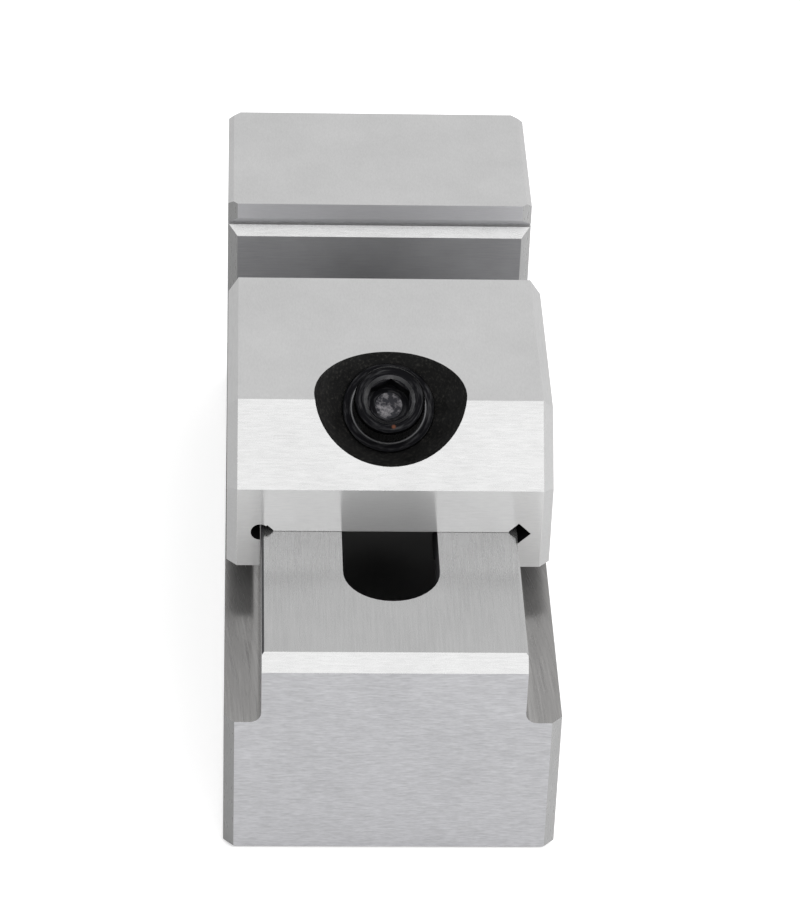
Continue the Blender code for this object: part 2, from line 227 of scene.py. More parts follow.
# %% [markdown]
# ## The draw screw
#
# The CAD screw is a plain turned bar, because a thread would cost the solid thousands of faces. The finished
# one is a socket head cap screw: a low knurled head with a rounded rim, a countersunk hexagon socket, and a
# rolled thread from halfway down. It could be one spun outline, but then the knurl would have to be cut from
# it tooth by tooth. So the head comes first, the shank is pulled out of its underside, and the socket is cut
# last. All of it is made upright at the origin, where radius and depth are easy to read, and tilted into its
# pocket at the end.

# %% Where the screw lies
SCREW_TILT = math.radians(40)
POCKET_CENTRE = Vector((0, -31.0, 78.5)) * MM
TO_SCREW = Matrix.Translation(POCKET_CENTRE) @ Matrix.Rotation(SCREW_TILT, 4, "X")
HEAD_SEAT = 12.392 * MM
HEAD_HEIGHT = 6.5 * MM
head_top = -(HEAD_SEAT - HEAD_HEIGHT)
print("middle of the head's top in mm:", [round(v / MM, 2) for v in TO_SCREW @ Vector((0, 0, head_top))])


# %% Tools for the screw
def primitive(name, kind, **sizes):
    """Adds a mesh primitive at its size and place, and returns it."""
    select_nothing()
    getattr(bpy.ops.mesh, "primitive_" + kind + "_add")(**sizes)
    piece = bpy.context.object
    piece.name = name
    return piece


def settle(piece, matrix):
    """Puts a piece's turn and place into its mesh, so its object sits at the origin, unturned."""
    piece.data.transform(matrix @ piece.matrix_basis)
    piece.matrix_basis = Matrix.Identity(4)


def cut(piece, tool):
    """Cuts a tool from a piece with a Boolean modifier that is applied, and removes the tool."""
    only(piece)
    modifier = piece.modifiers.new("cut", "BOOLEAN")
    modifier.operation = "DIFFERENCE"
    modifier.solver = "EXACT"
    modifier.object = tool
    bpy.ops.object.modifier_apply(modifier=modifier.name)
    bpy.data.objects.remove(tool, do_unlink=True)


def shrink(radius_now, radius_new):
    """Scales the selected ring about the screw's axis."""
    share = radius_new / radius_now
    bpy.ops.transform.resize(value=(share, share, 1), center_override=(0, 0, 0))


# %% [markdown]
# ## The head and its knurl
#
# A cap screw's head has fine teeth pressed round it, so that fingers can spin it. They could be a bump in the
# material, but then the rim would be a smooth circle in outline. The cylinder has one side for each tooth, and
# each side is inset a little and pushed out, which leaves a small groove between every two.

# %% Make the head
HEAD_RADIUS = 8.0 * MM
HEAD_CHAMFER = 0.8 * MM
KNURL_TEETH = 64
KNURL_DEPTH = 0.15 * MM
TOOTH_MARGIN = 0.16 * MM
TOOTH_AREA = 1.0 * MM**2
HAIR = 0.01 * MM
screw = primitive(
    "draw_screw_finished",
    "cylinder",
    vertices=KNURL_TEETH,
    radius=HEAD_RADIUS - KNURL_DEPTH,
    depth=HEAD_HEIGHT,
    location=(0, 0, head_top - HEAD_HEIGHT / 2),
)
bpy.ops.object.transform_apply(location=True, rotation=True, scale=True)
bpy.ops.object.mode_set(mode="EDIT")
pick(screw, "EDGE", lambda e: all(v.co.z > head_top - HAIR for v in e.verts))
bpy.ops.mesh.bevel(offset=HEAD_CHAMFER, segments=2, profile=0.5, affect="EDGES")
teeth = pick(screw, "FACE", lambda f: abs(f.normal.z) < 1 - SQUARE and f.calc_area() > TOOTH_AREA)
bpy.ops.mesh.inset(thickness=TOOTH_MARGIN, depth=KNURL_DEPTH, use_individual=True)
print("knurl teeth:", teeth)

# %% [markdown]
# ## The shank
#
# Below the head the bar is plain. Further down it is as thin as the thread's root, with a chamfered tip that
# finds the nut's hole. It could be a second cylinder, but that would leave two loose shells. So the head's
# underside is inset to the shank's radius and pulled down in three lengths, and after the second the face is
# shrunk, which makes the run-out.

# %% Pull out the shank
SHANK_RADIUS = 5.0 * MM
SCREW_LENGTH = 65.0 * MM
THREAD_START = 40.0 * MM
THREAD_ROOT = 4.15 * MM
RUN_OUT = 0.8 * MM
TIP_CHAMFER = 0.35 * MM
UNDERSIDE_AREA = 10 * MM**2


def pull(length):
    """Extrudes the selected face down the screw's axis."""
    bpy.ops.mesh.extrude_region_move(TRANSFORM_OT_translate={"value": (0, 0, -length)})


pick(screw, "FACE", lambda f: f.normal.z < -SQUARE and f.calc_area() > UNDERSIDE_AREA)
bpy.ops.mesh.inset(thickness=HEAD_RADIUS - KNURL_DEPTH - SHANK_RADIUS)
pull(THREAD_START - HEAD_SEAT)
pull(RUN_OUT)
shrink(SHANK_RADIUS, THREAD_ROOT)
pull(HEAD_SEAT + SCREW_LENGTH - THREAD_START - RUN_OUT)
bpy.ops.mesh.bevel(offset=TIP_CHAMFER, segments=2, profile=0.5, affect="EDGES")
bpy.ops.object.mode_set(mode="OBJECT")
print("screw's length in mm:", round(screw.dimensions.z / MM, 1))

# %% [markdown]
# ## The socket
#
# The hexagon takes the key. Above it is a countersink that guides the key in, and below it the cone that the
# drill left. They are cut with Booleans, because a hexagon in the middle of a round face is hard to extrude
# without pulling the faces round it out of shape. Each tool is a primitive with the right number of sides,
# and is removed once it has cut.

# %% Cut the socket
SOCKET_FLATS = 8.8 * MM
SOCKET_DEPTH = 5.0 * MM
SOCKET_TURN = math.radians(-4)
SOCKET_RIM = 5.75 * MM
RIM_DEPTH = 0.75 * MM
RIM_SIDES = 96
PILOT_RADIUS = 3.1 * MM
PILOT_DEPTH = 1.0 * MM
PILOT_SIDES = 48
OVERLAP = 0.02 * MM
hexagon = primitive(
    "hexagon",
    "cylinder",
    vertices=6,
    radius=SOCKET_FLATS / 2 / math.cos(math.radians(30)),
    depth=2 * SOCKET_DEPTH,
    location=(0, 0, head_top),
    rotation=(0, 0, SOCKET_TURN),
)
cut(screw, hexagon)
countersink = primitive(
    "countersink",
    "cone",
    vertices=RIM_SIDES,
    radius1=SOCKET_RIM - RIM_DEPTH,
    radius2=SOCKET_RIM + RIM_DEPTH,
    depth=2 * RIM_DEPTH,
    location=(0, 0, head_top),
)
cut(screw, countersink)
drill_point = primitive(
    "drill_point",
    "cone",
    vertices=PILOT_SIDES,
    radius1=0,
    radius2=PILOT_RADIUS,
    depth=PILOT_DEPTH,
    location=(0, 0, head_top - SOCKET_DEPTH - PILOT_DEPTH / 2 + OVERLAP),
)
cut(screw, drill_point)
print("screw faces:", len(screw.data.polygons), "open edges:", open_edges(screw))

# %% [markdown]
# ## The thread
#
# A thread is one small triangle that climbs as it goes round. The Screw modifier does just that: it sweeps a
# profile about an axis and lifts it by one pitch a turn. The ridge is closed at both ends and stands on the
# shank's root. It stops on both sides of the groove that holds the retaining ring. A flat texture would be
# quicker, but it would not show in the outline of the screw.

# %% Sweep the thread ridge
THREAD_PITCH = 1.5 * MM
CREST_HALF = 0.08 * THREAD_PITCH
FOOT_HALF = 0.42 * THREAD_PITCH
FOOT_SINK = 0.12 * MM
TURN_STEPS = 36
TURN_WELD = 0.01 * MM


def thread_ridge(name, top, bottom):
    """A helical ridge about the screw's axis between two depths."""
    profile = bpy.data.meshes.new(name)
    inner = THREAD_ROOT - FOOT_SINK
    points = [
        (inner, 0, -bottom + FOOT_HALF),
        (inner, 0, -bottom - FOOT_HALF),
        (SHANK_RADIUS, 0, -bottom - CREST_HALF),
        (SHANK_RADIUS, 0, -bottom + CREST_HALF),
    ]
    profile.from_pydata(points, [(0, 1), (1, 2), (2, 3), (3, 0)], [])
    ridge = bpy.data.objects.new(name, profile)
    bpy.context.scene.collection.objects.link(ridge)
    only(ridge)
    sweep = ridge.modifiers.new("sweep", "SCREW")
    sweep.axis = "Z"
    sweep.steps = sweep.render_steps = TURN_STEPS
    sweep.screw_offset = THREAD_PITCH
    turns = sweep.iterations = int((bottom - top) / THREAD_PITCH)
    sweep.use_merge_vertices = True
    sweep.merge_threshold = TURN_WELD
    bpy.ops.object.modifier_apply(modifier=sweep.name)
    bpy.ops.object.mode_set(mode="EDIT")
    pick(ridge, "EDGE", lambda e: len(e.link_faces) == 1)
    bpy.ops.mesh.edge_face_add()
    bpy.ops.mesh.select_all(action="SELECT")
    bpy.ops.mesh.normals_make_consistent(inside=False)
    bpy.ops.object.mode_set(mode="OBJECT")
    print(name, "turns:", turns, "open edges:", open_edges(ridge))
    return ridge


# %% Join the thread and tilt the screw
GROOVE_TOP = 71.2 * MM
GROOVE_SPAN = 2.8 * MM
END_CLEAR = 1.0 * MM
upper_ridge = thread_ridge("upper_thread", THREAD_START + END_CLEAR, GROOVE_TOP - END_CLEAR)
lower_ridge = thread_ridge("lower_thread", GROOVE_TOP + GROOVE_SPAN, HEAD_SEAT + SCREW_LENGTH - END_CLEAR)
only(screw)
upper_ridge.select_set(True)
lower_ridge.select_set(True)
bpy.ops.object.join()
settle(screw, TO_SCREW)
only(screw)
bpy.ops.object.shade_smooth_by_angle(angle=SMOOTH_BELOW)
print("finished screw's faces:", len(screw.data.polygons))

# %% [markdown]
# ## Flat faces, round edges
#
# Smooth shading averages the normals where faces meet, so a wide flat face beside a narrow bevel takes some of
# the bevel's turn, and then its reflections bend. The Weighted Normal modifier gives each face a say by its
# area. The wide ground faces stay as flat as a mirror and only the narrow bevels turn.

# %% Weight the normals
AREA_SAY = 100


def keep_flats_flat(piece):
    """Weights a piece's normals by face area, and applies the modifier."""
    only(piece)
    weighted = piece.modifiers.new("weighted", "WEIGHTED_NORMAL")
    weighted.mode = "FACE_AREA"
    weighted.weight = AREA_SAY
    weighted.keep_sharp = True
    bpy.ops.object.modifier_apply(modifier=weighted.name)


finished_pieces = (body, jaw, washer, nut, ring, screw)
for finished in finished_pieces:
    keep_flats_flat(finished)
print("normals weighted:", len(finished_pieces), "pieces")

# %% [markdown]
# ## Shader groups
#
# Steel looks the way it was worked. A grinding wheel leaves fine parallel lines, and each ground face has its
# lines along one axis. A group node holds that effect once, and every steel material then places it with its
# own direction and strength. A line texture could be painted on an unwrapped mesh, but noise on the object's
# own coordinates, squeezed across the lines, needs no unwrapping and stays sharp at any distance.


# %% Node helpers
def new_group(name, inputs, outputs):
    """A shader node group with named float or vector sockets, and its input and output nodes."""
    group = bpy.data.node_groups.new(name, "ShaderNodeTree")
    for label, kind, value in inputs:
        socket = group.interface.new_socket(name=label, in_out="INPUT", socket_type=kind)
        socket.default_value = value
    for label, kind in outputs:
        group.interface.new_socket(name=label, in_out="OUTPUT", socket_type=kind)
    return group, group.nodes.new("NodeGroupInput"), group.nodes.new("NodeGroupOutput")


def feed(tree, term, socket):
    """Gives a socket a number, a vector, a colour or another socket's output."""
    if isinstance(term, bpy.types.NodeSocket):
        tree.links.new(term, socket)
    elif socket.type == "RGBA":
        socket.default_value = (*term, 1)
    else:
        socket.default_value = term


def maths(tree, operation, first, second=0.0):
    """A Math node. Each term is a number or a socket."""
    node = tree.nodes.new("ShaderNodeMath")
    node.operation = operation
    feed(tree, first, node.inputs[0])
    feed(tree, second, node.inputs[1])
    return node.outputs[0]


def vector_maths(tree, operation, first, second=(0, 0, 0)):
    """A Vector Math node. Each term is a vector or a socket."""
    node = tree.nodes.new("ShaderNodeVectorMath")
    node.operation = operation
    feed(tree, first, node.inputs[0])
    feed(tree, second, node.inputs[1])
    return node.outputs["Value" if operation in ("LENGTH", "DISTANCE") else "Vector"]


def parts_of(tree, vector):
    """The X, Y and Z of a vector, as sockets."""
    node = tree.nodes.new("ShaderNodeSeparateXYZ")
    tree.links.new(vector, node.inputs[0])
    return node.outputs["X"], node.outputs["Y"], node.outputs["Z"]


def object_place(tree):
    """Where a point lies on the piece, in metres."""
    return tree.nodes.new("ShaderNodeTexCoord").outputs["Object"]


def noise(tree, vector, scale, detail, roughness=0.5):
    """A Noise Texture's grey value on a vector."""
    node = tree.nodes.new("ShaderNodeTexNoise")
    node.inputs["Scale"].default_value = scale
    node.inputs["Detail"].default_value = detail
    node.inputs["Roughness"].default_value = roughness
    tree.links.new(vector, node.inputs["Vector"])
    return node.outputs["Fac"]


def steps(tree, value, low, high, to_low=0.0, to_high=1.0):
    """A Map Range node that is clamped at both ends."""
    node = tree.nodes.new("ShaderNodeMapRange")
    node.inputs["From Min"].default_value = low
    node.inputs["From Max"].default_value = high
    node.inputs["To Min"].default_value = to_low
    node.inputs["To Max"].default_value = to_high
    tree.links.new(value, node.inputs["Value"])
    return node.outputs["Result"]


def tint_between(tree, value, dark, light):
    """A colour that goes from dark to light with a value. Each end is a colour or a socket."""
    node = tree.nodes.new("ShaderNodeMix")
    node.data_type = "RGBA"
    first, second = (socket for socket in node.inputs if socket.type == "RGBA")
    feed(tree, dark, first)
    feed(tree, light, second)
    tree.links.new(value, node.inputs["Factor"])
    return next(socket for socket in node.outputs if socket.type == "RGBA")


# %% A group for the lay of the grinding lines
CLOUD_SCALE = 70
MIDDLE_GREYS = 0.3, 0.7
lines, entry, leave = new_group(
    "grinding_lines",
    [("Place", "NodeSocketVector", (0, 0, 0)), ("Stretch", "NodeSocketVector", (1, 1, 1))],
    [("Lines", "NodeSocketFloat"), ("Clouds", "NodeSocketFloat")],
)
stretched = vector_maths(lines, "MULTIPLY", entry.outputs["Place"], entry.outputs["Stretch"])
fine = noise(lines, stretched, scale=1.0, detail=3.0, roughness=0.65)
lines.links.new(steps(lines, fine, *MIDDLE_GREYS), leave.inputs["Lines"])
cloud = noise(lines, entry.outputs["Place"], scale=CLOUD_SCALE, detail=4.0, roughness=0.6)
lines.links.new(steps(lines, cloud, *MIDDLE_GREYS), leave.inputs["Clouds"])
print("group:", lines.name)

# %% [markdown]
# ## Ground steel
#
# The lines are thinner than a pixel, so what you see is mostly their shine: it is spread across the lines and
# not along them, which the Principled shader calls anisotropic, and its tangent has to follow the lines. The
# ridges mirror the room while the valleys between them scatter it. So the steel isn't pure metal here: about
# six tenths of it is a mirror and the rest is dull, which also stops the faces from going black or white as
# the view turns. The sides and the walls of one block differ in tone: the rail's walls, the left corner
# chamfers and the fixed jaw's face below its vee groove are darker copies of the same steel, painted shade
# where less light reaches them.


# %% A maker of ground finishes
def principled(name, metallic, colour, roughness):
    """A new material and its Principled shader, with plain values."""
    material = bpy.data.materials.new(name)
    material.use_nodes = True
    shader = material.node_tree.nodes["Principled BSDF"]
    shader.inputs["Metallic"].default_value = metallic
    shader.inputs["Base Color"].default_value = (*colour, 1)
    shader.inputs["Roughness"].default_value = roughness
    return material, shader


def shade(colour, share):
    """A colour made lighter or darker by a share."""
    return tuple(channel * share for channel in colour)


def place_group(tree, group, place):
    """A group node in a material, fed with the place on the piece."""
    node = tree.nodes.new("ShaderNodeGroup")
    node.node_tree = group
    tree.links.new(place, node.inputs["Place"])
    return node


def comb(tree, shader, lay, amount):
    """Spreads a shader's shine across lines that run along lay."""
    shader.inputs["Anisotropic"].default_value = amount
    normal = tree.nodes.new("ShaderNodeNewGeometry").outputs["Normal"]
    axis = tuple(1.0 if letter == lay else 0.0 for letter in "XYZ")
    tree.links.new(vector_maths(tree, "CROSS_PRODUCT", normal, axis), shader.inputs["Tangent"])


LINE_SCALE = 2900
LINE_LENGTH = 0.1
BLOTCHES = 0.4
MIRROR_SHARE = 0.6
ROUGH_SPREAD = 0.15


def ground_steel(
    name, lay, colour, contrast, roughness, brushed, length=LINE_LENGTH, blotches=BLOTCHES, mirror=MIRROR_SHARE
):
    """Steel with grinding lines along X, Y or Z.

    contrast is how far the lines differ in tone, brushed how far the shine is spread across them, length how
    short the lines are, blotches how much of the tone is cloudy, and mirror how much of the steel is metal.
    """
    material, shader = principled(name, mirror, colour, roughness)
    tree = material.node_tree
    group = place_group(tree, lines, object_place(tree))
    group.inputs["Stretch"].default_value = [LINE_SCALE * (length if axis == lay else 1) for axis in "XYZ"]
    streaks = maths(tree, "MULTIPLY", group.outputs["Lines"], 1 - blotches)
    drift = maths(tree, "MULTIPLY", group.outputs["Clouds"], blotches)
    tone = maths(tree, "ADD", streaks, drift)
    ends = shade(colour, 1 - contrast), shade(colour, 1 + contrast)
    tree.links.new(tint_between(tree, tone, *ends), shader.inputs["Base Color"])
    rough_ends = roughness * (1 + ROUGH_SPREAD), roughness * (1 - ROUGH_SPREAD)
    tree.links.new(steps(tree, group.outputs["Lines"], 0, 1, *rough_ends), shader.inputs["Roughness"])
    comb(tree, shader, lay, brushed)
    return material


# %% The ground finishes
# Columns: name, lay, colour, contrast, roughness, brushed.
BRIGHT = (0.63, 0.63, 0.63)
COOL = (0.61, 0.61, 0.63)
steel_top = ground_steel("steel_top", "Y", shade(BRIGHT, 0.89), 0.08, 0.34, 0.3, length=0.3, blotches=0.5)
steel_slope = ground_steel("steel_slope", "X", BRIGHT, 0.08, 0.26, 0.9)
steel_jaw_front = ground_steel("steel_jaw_front", "X", shade(BRIGHT, 1.18), 0.08, 0.22, 1.0)
steel_jaw_back = ground_steel("steel_jaw_back", "X", shade(BRIGHT, 0.8), 0.09, 0.30, 0.8)
steel_rail = ground_steel("steel_rail", "Y", shade(BRIGHT, 0.8), 0.08, 0.26, 0.7, length=0.03, mirror=0.9)
steel_end = ground_steel("steel_end", "X", shade(COOL, 0.92), 0.17, 0.36, 0.6, length=0.15, blotches=0.2)
steel_face = ground_steel("steel_jaw_face", "X", shade(COOL, 0.95), 0.05, 0.5, 0.2)
# The fixed jaw's face below the vee groove: a darker copy, painted shade from the moving jaw.
steel_face_shaded_low = ground_steel(
    "steel_jaw_face_low", "X", shade(COOL, 0.5), 0.12, 0.62, 0.1, length=0.05, blotches=0.7
)
steel_side = ground_steel("steel_side", "Y", shade(BRIGHT, 0.88), 0.06, 0.34, 0.8)
# The rail's walls: a darker copy of the side steel, painted shade.
steel_wall_shaded = ground_steel("steel_rail_wall", "Y", shade(BRIGHT, 0.8), 0.06, 0.3, 0.8, mirror=1.0)
# The left corner chamfers are darker than the right ones: painted shade, because the light comes from the
# right.
steel_corner_left = ground_steel("steel_corner_left", "Z", shade(BRIGHT, 0.5), 0.09, 0.3, 0.6)
steel_corner_right = ground_steel("steel_corner_right", "Z", shade(BRIGHT, 0.68), 0.09, 0.3, 0.6)
print("ground finishes:", sum(material.name.startswith("steel_") for material in bpy.data.materials))

# %% [markdown]
# ## The scratched ledges
#
# The low ledge on each side of the rail was ground with the face of a cup wheel, which leaves long arcs
# instead of straight lines. The same group is used, but its place is bent first: a share of Y and a share of
# Y squared are added to X, so the straight lines lean and bow.

# %% Ledge steel
LEDGE_TONE = (0.32, 0.315, 0.31)
LEDGE_CONTRAST = 0.16
LEDGE_MIRROR = 0.65
LEDGE_DULL, LEDGE_SHINY = 0.3, 0.18
LEDGE_BRUSHED = 0.6
ARC_START = Vector((-420, -30, 0)) * MM
ARC_LEAN = 0.24
ARC_BOW = 1.6
ACROSS_ARCS = 2300
ALONG_ARCS = 54
steel_ledge, ledge_shader = principled("steel_ledge", LEDGE_MIRROR, LEDGE_TONE, LEDGE_DULL)
tree = steel_ledge.node_tree
from_start = vector_maths(tree, "SUBTRACT", object_place(tree), tuple(ARC_START))
sideways, along, _ = parts_of(tree, from_start)
lean = maths(tree, "MULTIPLY", along, ARC_LEAN)
bow = maths(tree, "MULTIPLY", maths(tree, "MULTIPLY", along, along), ARC_BOW)
bent = tree.nodes.new("ShaderNodeCombineXYZ")
tree.links.new(maths(tree, "ADD", maths(tree, "ADD", sideways, lean), bow), bent.inputs["X"])
tree.links.new(along, bent.inputs["Y"])
arcs = place_group(tree, lines, bent.outputs[0])
arcs.inputs["Stretch"].default_value = (ACROSS_ARCS, ALONG_ARCS, ACROSS_ARCS)
ends = shade(LEDGE_TONE, 1 - LEDGE_CONTRAST), shade(LEDGE_TONE, 1 + LEDGE_CONTRAST)
tree.links.new(tint_between(tree, arcs.outputs["Lines"], *ends), ledge_shader.inputs["Base Color"])
shine = steps(tree, arcs.outputs["Lines"], 0, 1, LEDGE_DULL, LEDGE_SHINY)
tree.links.new(shine, ledge_shader.inputs["Roughness"])
comb(tree, ledge_shader, "Y", LEDGE_BRUSHED)
print("ledge steel:", steel_ledge.name, "nodes:", len(tree.nodes))

# %% [markdown]
# ## Hardened and blackened steel
#
# The ball pocket, the slot, the side grooves, the reliefs and the undersides of the jaw were never ground
# after hardening, so they keep their black scale. The screw, its washer, the nut and the ring are black oxide,
# a little glossier, with lighter places where the key and the spanner rub, a painted highlight on the socket's
# countersink and a painted glint at its drill point. Scale is closer to soot than to metal, so it is modelled
# as a dark dull paint with rare pale specks. The oxide is a very dark metal, which gives the faint, tight
# highlights of oiled steel.


# %% Black scale
SPECK_SPREAD = 0.3
SPECKS_IN_PATCH = 6


def black_steel(name, metallic, dark, light, low, high, grain, sparse=0.45, gloss=0.5):
    """Dark steel with fine specks, rarer as sparse rises. Its roughness drifts between low and high."""
    material, shader = principled(name, metallic, dark, high)
    shader.inputs["Specular IOR Level"].default_value = gloss
    tree = material.node_tree
    place = object_place(tree)
    grey = noise(tree, place, scale=grain, detail=3.0, roughness=0.7)
    specks = steps(tree, grey, sparse, sparse + SPECK_SPREAD)
    tree.links.new(tint_between(tree, specks, dark, light), shader.inputs["Base Color"])
    patches = noise(tree, place, scale=grain / SPECKS_IN_PATCH, detail=2.0)
    tree.links.new(steps(tree, patches, *MIDDLE_GREYS, low, high), shader.inputs["Roughness"])
    return material


# Columns: name, metallic, dark, light, low, high, grain.
GRAIN = 1500
SOCKET_GRAIN = 600
SOOT, ASH = (0.0095, 0.0095, 0.0095), (0.07, 0.067, 0.06)
scale_black = black_steel("hardened_scale", 0.0, SOOT, ASH, 0.45, 0.7, GRAIN, sparse=0.52, gloss=0.35)
SLOT_DARK, SLOT_LIGHT = (0.06, 0.06, 0.063), (0.1, 0.1, 0.104)
slot_black = black_steel("slot_scale", 0.0, SLOT_DARK, SLOT_LIGHT, 0.6, 0.8, GRAIN, gloss=0.1)
RELIEF_DARK, RELIEF_LIGHT = (0.006, 0.006, 0.007), (0.012, 0.012, 0.014)
relief_black = black_steel("relief_scale", 0.0, RELIEF_DARK, RELIEF_LIGHT, 0.6, 0.8, GRAIN, gloss=0.1)
# The drill point's lighter, speckled steel is a painted glint.
SOCKET_DARK, SOCKET_LIGHT = (0.03, 0.03, 0.034), (0.26, 0.25, 0.26)
socket_floor = black_steel("socket_floor", 1.0, SOCKET_DARK, SOCKET_LIGHT, 0.35, 0.5, SOCKET_GRAIN)
print("scale finishes:", [material.name for material in (scale_black, slot_black, relief_black, socket_floor)])

# %% [markdown]
# ## Rings from the lathe
#
# The head and the washer were turned, so their marks are rings about the screw's axis. The next group turns a
# place on the piece into the screw's own upright frame with a Mapping node, and there the distance from the
# axis takes the place of X in the noise. It also puts out that distance, so that a material can draw the
# thin bright ring that the head has rubbed on the washer.

# %% A group for turned rings
RING_FINENESS = 2300
RING_BREAK = 260
RING_GREYS = 0.5, 0.75
turned, entry, leave = new_group(
    "turned_rings",
    [("Place", "NodeSocketVector", (0, 0, 0))],
    [("Rings", "NodeSocketFloat"), ("Radius", "NodeSocketFloat")],
)
to_axis = turned.nodes.new("ShaderNodeMapping")
to_axis.vector_type = "TEXTURE"
to_axis.inputs["Location"].default_value = POCKET_CENTRE
to_axis.inputs["Rotation"].default_value = (SCREW_TILT, 0, 0)
turned.links.new(entry.outputs["Place"], to_axis.inputs["Vector"])
upright = to_axis.outputs["Vector"]
radius = vector_maths(turned, "LENGTH", vector_maths(turned, "MULTIPLY", upright, (1, 1, 0)))
upright_x, upright_y, upright_z = parts_of(turned, upright)
outwards = maths(turned, "SUBTRACT", radius, upright_z)
ring_place = turned.nodes.new("ShaderNodeCombineXYZ")
turned.links.new(maths(turned, "MULTIPLY", outwards, RING_FINENESS), ring_place.inputs["X"])
turned.links.new(maths(turned, "MULTIPLY", upright_x, RING_BREAK), ring_place.inputs["Y"])
turned.links.new(maths(turned, "MULTIPLY", upright_y, RING_BREAK), ring_place.inputs["Z"])
rings = noise(turned, ring_place.outputs[0], scale=1.0, detail=3.0, roughness=0.6)
turned.links.new(steps(turned, rings, *RING_GREYS), leave.inputs["Rings"])
turned.links.new(radius, leave.inputs["Radius"])
print("group:", turned.name)

# %% [markdown]
# ## Black oxide
#
# The oxide is about a thousandth of a millimetre thick, so it wears through where something rubs, and there
# bare steel shows or rusts. Faces for so thin a wear would never show in the outline, so it is colour alone.
# One material draws it from the group's two values: faint rings everywhere, one worn ring, and a speck of rust
# whose place is a point on the head.

# %% Make the oxide
WORN_RADIUS = 8.4 * MM
WORN_HALF = 0.25 * MM
RING_STRENGTH = 0.22
RUST = (0.11, 0.045, 0.028)
RUST_RADIUS = 0.6 * MM
RUST_CORE = 0.4
RUST_PLACE = TO_SCREW @ Vector((0.9 * MM, -6.3 * MM, head_top))


def turned_steel(name, dark, light, roughness, rust_place=None):
    """Black oxide on a turned surface, with rings about the screw and, if asked, one speck of rust."""
    material, shader = principled(name, 1.0, dark, roughness)
    tree = material.node_tree
    place = object_place(tree)
    group = place_group(tree, turned, place)
    off_ring = maths(tree, "ABSOLUTE", maths(tree, "SUBTRACT", group.outputs["Radius"], WORN_RADIUS))
    worn = steps(tree, off_ring, WORN_HALF, 0)
    faint = maths(tree, "MULTIPLY", group.outputs["Rings"], RING_STRENGTH)
    colour = tint_between(tree, maths(tree, "MAXIMUM", faint, worn), dark, light)
    if rust_place:
        distance = vector_maths(tree, "DISTANCE", place, tuple(rust_place))
        near = steps(tree, distance, RUST_RADIUS, RUST_RADIUS * RUST_CORE)
        colour = tint_between(tree, near, colour, RUST)
    tree.links.new(colour, shader.inputs["Base Color"])
    return material


oxide_black = turned_steel("black_oxide", (0.0065, 0.0065, 0.0075), (0.2, 0.2, 0.205), 0.4, RUST_PLACE)
# The countersink's lighter oxide is partly wear from the key and partly a painted highlight on its chamfer.
rubbed_and_highlight_black = turned_steel("black_oxide_rubbed", (0.14, 0.14, 0.145), (0.9, 0.9, 0.9), 0.3)
print("oxide finishes:", oxide_black.name, rubbed_and_highlight_black.name)

# %% [markdown]
# ## Which face has which finish
#
# One part can have several finishes. They could be assigned by hand in edit mode, but then a change of shape
# would lose them. Each face here is given a material by where it lies and which way it looks, the way a shop
# drawing marks its surfaces. A normal has three parts between -1 and 1: near 1 the face is square to that
# axis, and past about a third it leans towards it.


# %% Give each face its finish
def finish_faces(piece, choose):
    """Gives each face the material that choose(centre, normal) returns, and forgets any older ones."""
    piece.data.materials.clear()
    chosen = [choose(face.center, face.normal) for face in piece.data.polygons]
    finishes = sorted(set(chosen), key=lambda material: material.name)
    for material in finishes:
        piece.data.materials.append(material)
    for face, material in zip(piece.data.polygons, chosen):
        face.material_index = finishes.index(material)
    print(piece.name, "finishes:", [material.name for material in finishes])


LEANS = 0.3
SKIN = 0.15 * MM

# %% [markdown]
# ## The body's finishes
#
# The slot and the channel under it are scale, and so are the long grooves in the sides. The outside is ground
# all over, and the fixed jaw's face below its vee groove is a darker copy of its steel, painted shade from the
# moving jaw in front of it. The narrow chamfer along the rail's left edge gets the slot's dark scale, which is
# painted shade.

# %% Finish the body
RAIL_HALF = 28.45 * MM
LEDGE_TOP = 35.6 * MM
LEDGE_FILLET = 2.4 * MM
FIXED_FACE = 49.3 * MM
VEE_DEPTH = 2.0 * MM
VEE_FOOT = 69.2 * MM
SIDE = 36.5 * MM
CHANNEL_HALF = 22.4 * MM
CHANNEL_FRONT, CHANNEL_BACK = -73.2 * MM, 62 * MM
CHANNEL_FOOT = 0.2 * MM
GROOVE_DEPTH = 5.2 * MM
GROOVE_FOOT, GROOVE_HEAD = 9.7 * MM, 18.3 * MM
GROOVE_REACH = 75 * MM
WALL_MARGIN = 1.0 * MM
FIXED_TOP_FROM = RAIL_TOP + 10 * MM
END_LEAN = 0.8


def in_channel(centre):
    """Whether a face lies inside the slot or the channel."""
    across = abs(centre.x) < CHANNEL_HALF and CHANNEL_FRONT < centre.y < CHANNEL_BACK
    return across and CHANNEL_FOOT < centre.z < RAIL_TOP - SKIN


def in_side_groove(centre):
    """Whether a face lies inside one of the long side grooves."""
    sunk = SIDE - GROOVE_DEPTH < abs(centre.x) < SIDE - SKIN and abs(centre.y) < GROOVE_REACH
    return sunk and GROOVE_FOOT < centre.z < GROOVE_HEAD


